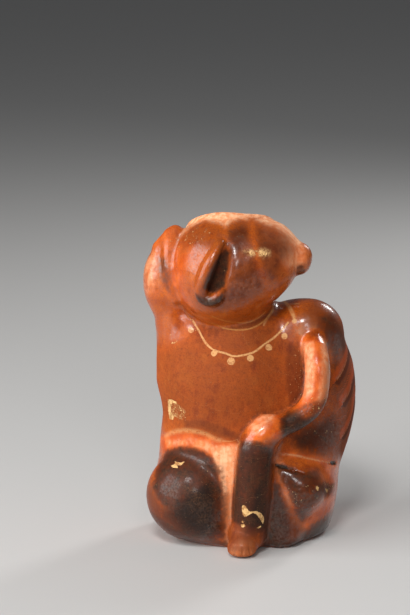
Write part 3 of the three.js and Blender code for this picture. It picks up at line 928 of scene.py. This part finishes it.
def flakeDistance(look):
    # millimetres to the nearest place where the slip is gone, negative inside
    best = np.min([outlineDistance(look.pixels, outline) for outline in flakes.values()], axis=0)
    best = best * relief["flakePixel"] + relief["unseenFlake"] * (1 - look.seen)
    for x, y, z, radius in flakeSpots:
        far = np.linalg.norm(look.p - np.array((x, y, z), float), axis=1)
        best = np.minimum(best, far - radius)
    return best


# creaseReach and creaseFade set the painted shade in creases
painting = {"farAway": 20, "creaseReach": 3.0, "creaseFade": (0.92, 0.7), "insideFade": (1.5, 2)}


def paintSkin(piece):
    # writes what the clay's nodes read, as attributes of the points
    look = Skin(piece)
    masks = {tone: look.together(places) for tone, places in fields.items()}
    for tone, amount, at, reach in hiddenFields:
        masks[tone] = np.maximum(masks[tone], look.hidden(amount, at, reach))
    for tone, mask in masks.items():
        look.write(tone, mask)
    for name, pixels in lines.items():
        look.write(name, strokeDistance(look.p, look.normals, stroke(pixels)))
    look.write("ribs", nearestStroke(look.p, look.normals, ribPaths()))
    beadAt = onSkin([at for at, radius in beads])
    toBeads = [np.linalg.norm(look.p - at, axis=1) - radius for at, (_, radius) in zip(beadAt, beads)]
    look.write("beads", np.minimum(np.min(toBeads, axis=0), painting["farAway"]))
    look.write("flakes", np.minimum(flakeDistance(look), painting["farAway"]))
    for name, places in (("crumbs", crumbs), ("laces", laces), ("eye", eyeSmears)):
        look.write(name, look.together(places))
    # Painted shade in creases: darker where the form closes in around the point
    reach = painting["creaseReach"]
    openness = outerForm(look.p + look.normals * reach) / reach
    look.write("creaseShadeAmount", fall(openness, *painting["creaseFade"]) * look.outside)
    look.write("inside", fall(cavityForm(look.p), *painting["insideFade"]))
    print("painted")
    return piece


def carveRelief(piece):
    look = Skin(piece)
    p, normals = look.p, look.normals
    seeds = relief["seeds"]
    lift = np.zeros(len(p))
    skinOutside = np.flatnonzero(look.outside > 0)
    for i, name in enumerate(("rolls", "dents", "pits")):
        height, across = relief[name]
        lift[skinOutside] += height * noiseAt(p[skinOutside], across, seeds["layers"] * i)
    toRibs = nearestStroke(p, normals, ribPaths())
    lift -= relief["ribDepth"] * np.exp(-(toRibs / relief["ribWidth"]) ** 2)
    for depth, width, *path in grooves.values():
        far = strokeDistance(p, normals, stroke(path), sharpEnds=False)
        lift -= depth * np.exp(-(far / width) ** 2) * look.seen
    for at, height, reach in swellings.values():
        far = np.linalg.norm(p - onSkin([at])[0], axis=1)
        lift += height * np.exp(-(far / reach) ** 2) * look.seen
    lift -= relief["flakeDepth"] * smooth(0.5 - flakeDistance(look) / relief["flakeEdge"])
    belt = strokeDistance(p, normals, stroke(lines["beltLine"]))
    ledge = smooth(0.5 + belt / relief["beltEdge"]) * np.exp(-(belt / relief["beltReach"]) ** 2)
    lift += relief["beltLedge"] * ledge
    crust = look.together(crusts)
    rough = np.flatnonzero(crust > 0)
    crustNoise = noiseAt(p[rough], relief["crustGrain"], seeds["crust"])
    lift[rough] += relief["crust"] * crust[rough] * crustNoise
    lip = np.flatnonzero(lumps["lip"](p) < relief["lipReach"])
    chips = noiseAt(p[lip], relief["chipGrain"], seeds["chips"])
    lift[lip] -= relief["lipChips"] * rise(chips, *relief["chipFade"])
    lift *= look.outside * rise(p[:, 2], *relief["footFade"])
    movePoints(piece.data, p + normals * lift[:, None])
    print("relief carved")
    return piece


vase = refine(vase)
vase = paintSkin(settle(vase))
vase = carveRelief(vase)


# The clay: an orange-brown slip, burnished, with fields of darker and paler fire, among them painted shade
# and painted highlights

def srgb(red, green, blue):
    return (*(((v / 255 + 0.055) / 1.055) ** 2.4 for v in (red, green, blue)), 1)


class Wire:
    # a node's output that can be used in sums; the node tree is set once
    tree = None

    def __init__(self, socket):
        self.socket = socket

    @classmethod
    def node(cls, kind, settings, inputs, out=0):
        made = cls.tree.nodes.new(kind)
        for name, value in settings.items():
            setattr(made, name, value)
        for key, value in inputs.items():
            if isinstance(value, Wire):
                cls.tree.links.new(value.socket, made.inputs[key])
            else:
                made.inputs[key].default_value = value
        return cls(made.outputs[out])

    @classmethod
    def sum(cls, operation, first, second=0.0, clamp=False):
        return cls.node("ShaderNodeMath", {"operation": operation, "use_clamp": clamp},
                        {0: first, 1: second})

    def __add__(self, other):
        return Wire.sum("ADD", self, other)

    def __sub__(self, other):
        return Wire.sum("SUBTRACT", self, other)

    def __rsub__(self, other):
        return Wire.sum("SUBTRACT", other, self)

    def __mul__(self, other):
        return Wire.sum("MULTIPLY", self, other)

    def __abs__(self):
        return Wire.sum("ABSOLUTE", self)

    __radd__ = __add__
    __rmul__ = __mul__


def ramp(value, low, high):
    return Wire.node("ShaderNodeMapRange", {"interpolation_type": "SMOOTHSTEP"},
                     {"Value": value, "From Min": low, "From Max": high})


def blend(under, over, amount):
    return Wire.node("ShaderNodeMix", {"data_type": "RGBA"}, {0: amount, 6: under, 7: over}, 2)


def either(a, b):
    return Wire.sum("MAXIMUM", a, b)


def attribute(name):
    return Wire.node("ShaderNodeAttribute", {"attribute_name": name}, {}, "Fac")


clay = {
    "base": (176, 80, 18), "baseDeep": (136, 52, 8), "baseLight": (202, 104, 32),
    "glowAndHighlight": (226, 104, 34), "glowAndHighlightDeep": (202, 80, 20),
    "paleAndHighlight": (255, 192, 146), "paleAndHighlightDeep": (240, 150, 98),
    "umberAndShade": (78, 31, 11), "umberAndShadeWarm": (122, 56, 20),
    "smokeAndShade": (34, 19, 11), "smokeAndShadeBrown": (80, 50, 28),
    # the colour of the painted shade in creases
    "creaseShade": (32, 13, 6),
    "paint": (226, 172, 112), "paintFaint": (190, 128, 66), "ribPale": (196, 122, 84),
    "eyeLine": (255, 206, 138), "bare": (226, 182, 122), "bareDeep": (176, 126, 76),
    "inside": (92, 52, 30),
}
color = {name: srgb(*value) for name, value in clay.items()}
gloss = {
    "roughness": 0.32, "matteRoughness": 0.88, "specular": 0.24, "coat": 1.0, "coatRoughness": 0.17,
    "bumpStrength": 0.75, "bumpDistance": 0.0004,   # m
}
# The clay's grains: scale, detail, stretch along X, Y and Z, and offset
grains = {
    "broad": (30, 3, (1, 1, 1), 0),
    "blotches": (120, 4, (1, 1, 1), 0),
    "mottle": (330, 4, (1, 1, 1), 0.3),
    "specks": (900, 2, (1, 1, 1), 0.7),
    "dust": (2200, 1, (1, 1, 1), 0),
    "streaks": (260, 3, (1, 1, 0.12), 0.2),
    "cross": (420, 3, (0.2, 0.2, 1), 0.9),
    "dashes": (1700, 1, (1, 1, 0.25), 0.5),
}


def makeGrains():
    place = Wire.node("ShaderNodeTexCoord", {}, {}, "Object")
    made = {}
    for name, (scale, detail, stretch, offset) in grains.items():
        at = Wire.node("ShaderNodeMapping", {}, {"Vector": place, "Scale": stretch,
                                                 "Location": (offset, offset, offset)})
        made[name] = Wire.node("ShaderNodeTexNoise", {}, {"Vector": at, "Scale": scale, "Detail": detail})
    return SimpleNamespace(**made)


def field(g, name, ragged=0.9):
    # the field's mask, frayed where it fades
    inner = attribute(name)
    frayed = inner + inner * (1 - inner) * (g.blotches + g.mottle - 1) * (4 * ragged)
    return Wire.sum("MAXIMUM", Wire.sum("MINIMUM", frayed, 1.0), 0.0)


def line(g, name, width, soft=0.35, ragged=1.0):
    far = abs(attribute(name)) + (g.mottle - 0.5) * ragged + (g.specks - 0.5) * ragged
    return 1 - ramp(far, width - soft, width + soft)


def clayTonesAndPaintedLight(g):
    shade = g.broad * 0.4 + g.blotches * 0.35 + g.streaks * 0.25
    base = blend(color["baseDeep"], color["base"], ramp(shade, 0.36, 0.5))
    base = blend(base, color["baseLight"], ramp(shade, 0.52, 0.68) * 0.8)
    base = blend(base, color["baseDeep"], ramp(g.mottle, 0.56, 0.7) * 0.45)
    base = blend(base, color["baseDeep"], ramp(g.specks, 0.5, 0.62) * 0.4)
    base = blend(base, color["baseLight"], ramp(g.dust, 0.56, 0.66) * 0.5)
    # the dark fields also carry painted shade, and the bright ones painted highlights
    brightOrange = blend(color["glowAndHighlightDeep"], color["glowAndHighlight"], ramp(g.blotches, 0.4, 0.6))
    base = blend(base, brightOrange, field(g, "glowAndHighlight") * 0.9)
    paleStreaks = ramp(g.streaks * 0.6 + g.mottle * 0.4, 0.4, 0.6)
    base = blend(base, blend(color["paleAndHighlightDeep"], color["paleAndHighlight"], paleStreaks), field(g, "paleAndHighlight", 0.5))
    # the brown field is clay tone and, in places, painted shade
    browner = ramp(g.mottle * 0.5 + g.blotches * 0.5, 0.4, 0.62)
    brown = blend(color["umberAndShade"], color["umberAndShadeWarm"], browner)
    base = blend(base, brown, field(g, "umberAndShade") * 0.92)
    # the black of smoke clouds, also the black of painted shade
    blackMottle = ramp(g.blotches * 0.5 + g.specks * 0.5, 0.45, 0.66) * 0.6
    black = blend(color["smokeAndShade"], color["smokeAndShadeBrown"], blackMottle)
    smokeAndShade = field(g, "smokeAndShade")
    base = blend(base, brown, ramp(smokeAndShade, 0.0, 0.5) * 0.8)
    return blend(base, black, ramp(smokeAndShade, 0.2, 1.0))


def scratchedRibs(g, base):
    # each rib has a dark band under its line and a bright one over it, painted stripes that are partly
    # painted shade and painted highlight, and scratches beside it
    over = attribute("ribs") + (g.blotches - 0.5) * 2
    under = 0.0 - over
    brightBand = ramp(over, 0.2, 1.5) * (1 - ramp(over, 4.5, 7.5))
    darkBand = ramp(under, 0.2, 1.2) * (1 - ramp(under, 3.5, 5.5))
    base = blend(base, color["glowAndHighlightDeep"], brightBand * 0.5)
    base = blend(base, color["umberAndShade"], darkBand * 0.8)
    paleLine = line(g, "ribs", 0.5, 0.35, 1.2) * ramp(g.mottle, 0.38, 0.52)
    base = blend(base, color["ribPale"], paleLine * 0.6)
    besideRibs = 1 - ramp(abs(attribute("ribs")), 6.0, 11.0)
    scratches = ramp(Wire.sum("SINE", over * 4.5), 0.72, 1.0) * ramp(g.blotches, 0.42, 0.58)
    return blend(base, color["umberAndShade"], scratches * besideRibs * 0.6)


def paintedLines(g, base):
    wear = ramp(g.mottle * 0.5 + g.specks * 0.5, 0.4, 0.5)
    fainter = either(line(g, "hookTop", 0.9, 0.6), line(g, "loop", 0.8, 0.6)) * 0.6
    hook = either(line(g, "hook", 1.3, 0.8), fainter)
    beadPaint = 1 - ramp(attribute("beads") + (g.mottle - 0.5) * 1.6, -0.35, 0.35)
    paint = either(either(line(g, "necklace", 0.7), hook * 0.75), beadPaint) * (0.35 + wear * 0.4)
    base = blend(base, color["paint"], paint)
    faint = either(line(g, "collarLow", 0.55), line(g, "collarHigh", 0.45))
    base = blend(base, color["paintFaint"], faint * (0.3 + wear * 0.5))
    # cream paint of the cloth and belt lines, partly a painted highlight along their edges
    cloth = either(line(g, "clothLine", 1.6, 1.5), line(g, "beltLine", 0.7, 0.5))
    base = blend(base, color["paint"], cloth * (0.08 + wear * 0.3))
    lashes = field(g, "eye") * (0.2 + ramp(g.dashes, 0.44, 0.54) * 0.8)
    return blend(base, color["eyeLine"], lashes), paint


def lostSlip(g):
    # where the clay is bare in flakes and fine cracks, and in small crumbs
    bareEdge = attribute("flakes") + (g.mottle - 0.5) * 0.7 + (g.specks - 0.5) * 0.9
    laced = attribute("laces")
    cracks = 1 - ramp(abs(g.specks - 0.5) + (1 - laced) * 0.12, 0.02, 0.045)
    bare = either(1 - ramp(bareEdge, -0.15, 0.15), cracks * ramp(laced, 0.05, 0.3))
    crumby = attribute("crumbs")
    crumb = ramp(g.specks * 0.65 + g.mottle * 0.35 + crumby * 0.1, 0.69, 0.72)
    return bare, crumb * ramp(crumby, 0.05, 0.4)


def makeClay():
    material = bpy.data.materials.new("burnishedClay")
    material.use_nodes = True
    Wire.tree = material.node_tree
    g = makeGrains()
    base = scratchedRibs(g, clayTonesAndPaintedLight(g))
    # painted shade darkens the creases
    base = blend(base, color["creaseShade"], attribute("creaseShadeAmount") * ramp(g.mottle, 0.3, 0.6) * 0.5)
    base, paint = paintedLines(g, base)
    bare, crumb = lostSlip(g)
    chalk = blend(color["bareDeep"], color["bare"], ramp(g.mottle, 0.4, 0.55))
    stray = ramp(g.specks, 0.74, 0.77)
    base = blend(base, chalk, either(bare, either(crumb, stray * 0.6)))
    base = blend(base, color["umberAndShade"], ramp(g.dust * 0.5 + g.specks * 0.5, 0.6, 0.68) * 0.5)
    base = blend(base, color["inside"], attribute("inside"))

    matte = either(bare, either(crumb, paint * 0.5))
    dull = either(attribute("dull") * 0.85, either(matte, attribute("inside")))
    rough = gloss["roughness"] + (g.blotches - 0.5) * 0.2 + (g.cross - 0.5) * 0.16
    rough = rough + (g.mottle - 0.5) * 0.1 + dull * (gloss["matteRoughness"] - gloss["roughness"])
    patchy = ramp(g.mottle * 0.4 + g.specks * 0.6, 0.36, 0.6)
    coat = Wire.sum("SUBTRACT", 1.0, dull * 1.8, clamp=True) * patchy * gloss["coat"]

    height = (g.streaks - 0.5) * 0.5 + (g.cross - 0.5) * 0.4 + (g.mottle - 0.5) * 0.35
    height = height + (g.specks - 0.5) * 0.18 - bare * 0.5 + crumb * 0.25
    height = height - ramp(g.mottle, 0.62, 0.72) * 0.3
    bump = Wire.node("ShaderNodeBump", {}, {"Strength": gloss["bumpStrength"],
                                            "Distance": gloss["bumpDistance"], "Height": height})

    shader = Wire.tree.nodes["Principled BSDF"]
    shader.inputs["Coat Roughness"].default_value = gloss["coatRoughness"]
    shader.inputs["Specular IOR Level"].default_value = gloss["specular"]
    for name, wire in (("Base Color", base), ("Roughness", rough), ("Coat Weight", coat), ("Normal", bump)):
        Wire.tree.links.new(wire.socket, shader.inputs[name])
    return material


vase.data.materials.clear()
vase.data.materials.append(makeClay())
vase.data.polygons.foreach_set("use_smooth", [True] * len(vase.data.polygons))
print("clay ready")


# Stage and light

stage = {
    "floorSize": 20.0, "floorColor": (0.6, 0.59, 0.575), "floorRoughness": 0.6,
    "skyColor": (0.9, 0.92, 0.95), "skyStrength": 0.1,
}
middle = (0, 0, 0.12)
lamps = {
    "softbox": {"at": (-1.2, -0.65, 0.75), "power": 25, "size": (1.4, 1.2), "aim": (0, 0, 0.4)},
    "eyeBox": {"at": (0.25, -1.6, 0.95), "power": 4.5, "size": (0.4, 0.4), "aim": middle},
    "frontBox": {"at": (-0.3, -1.4, 1.75), "power": 22, "size": (0.5, 0.4), "aim": middle},
    "rimBox": {"at": (0.85, 1.05, 0.95), "power": 8, "size": (0.28, 0.6), "aim": middle},
}


def addFloor():
    bm = bmesh.new()
    bmesh.ops.create_grid(bm, x_segments=1, y_segments=1, size=stage["floorSize"] / 2)
    mesh = bpy.data.meshes.new("floor")
    bm.to_mesh(mesh)
    bm.free()
    floor = bpy.data.objects.new("floor", mesh)
    bpy.context.scene.collection.objects.link(floor)
    material = bpy.data.materials.new("paleFloor")
    material.use_nodes = True
    shader = material.node_tree.nodes["Principled BSDF"]
    shader.inputs["Base Color"].default_value = (*stage["floorColor"], 1)
    shader.inputs["Roughness"].default_value = stage["floorRoughness"]
    mesh.materials.append(material)


def addLamp(name, at, power, size, aim):
    light = bpy.data.lights.new(name, "AREA")
    light.energy = power
    light.shape = "RECTANGLE"
    light.size, light.size_y = size
    lamp = bpy.data.objects.new(name, light)
    bpy.context.scene.collection.objects.link(lamp)
    lamp.location = at
    lamp.rotation_euler = (Vector(aim) - Vector(at)).to_track_quat("-Z", "Y").to_euler()


def addSky():
    world = bpy.data.worlds.new("studio")
    bpy.context.scene.world = world
    world.use_nodes = True
    sky = world.node_tree.nodes["Background"]
    sky.inputs["Color"].default_value = (*stage["skyColor"], 1)
    sky.inputs["Strength"].default_value = stage["skyStrength"]


def addCamera():
    camera = bpy.data.cameras.new("camera")
    camera.sensor_fit = "VERTICAL"
    camera.sensor_height = 36
    width, height = view["picture"]
    camera.lens = view["distance"] / view["mmPerPixel"] / height * camera.sensor_height
    camera.shift_x = (width / 2 - view["aimPixel"][0]) / height
    camera.shift_y = (view["aimPixel"][1] - height / 2) / height
    holder = bpy.data.objects.new("camera", camera)
    bpy.context.scene.collection.objects.link(holder)
    holder.location = toRow(eye)
    holder.rotation_euler = Vector(forward).to_track_quat("-Z", "Y").to_euler()
    bpy.context.scene.camera = holder


addFloor()
addCamera()
for name, lamp in lamps.items():
    addLamp(name, **lamp)
addSky()
bpy.context.scene.view_settings.view_transform = "Standard"
print("stage and lamps ready")

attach(vase, "root")
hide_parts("vase")
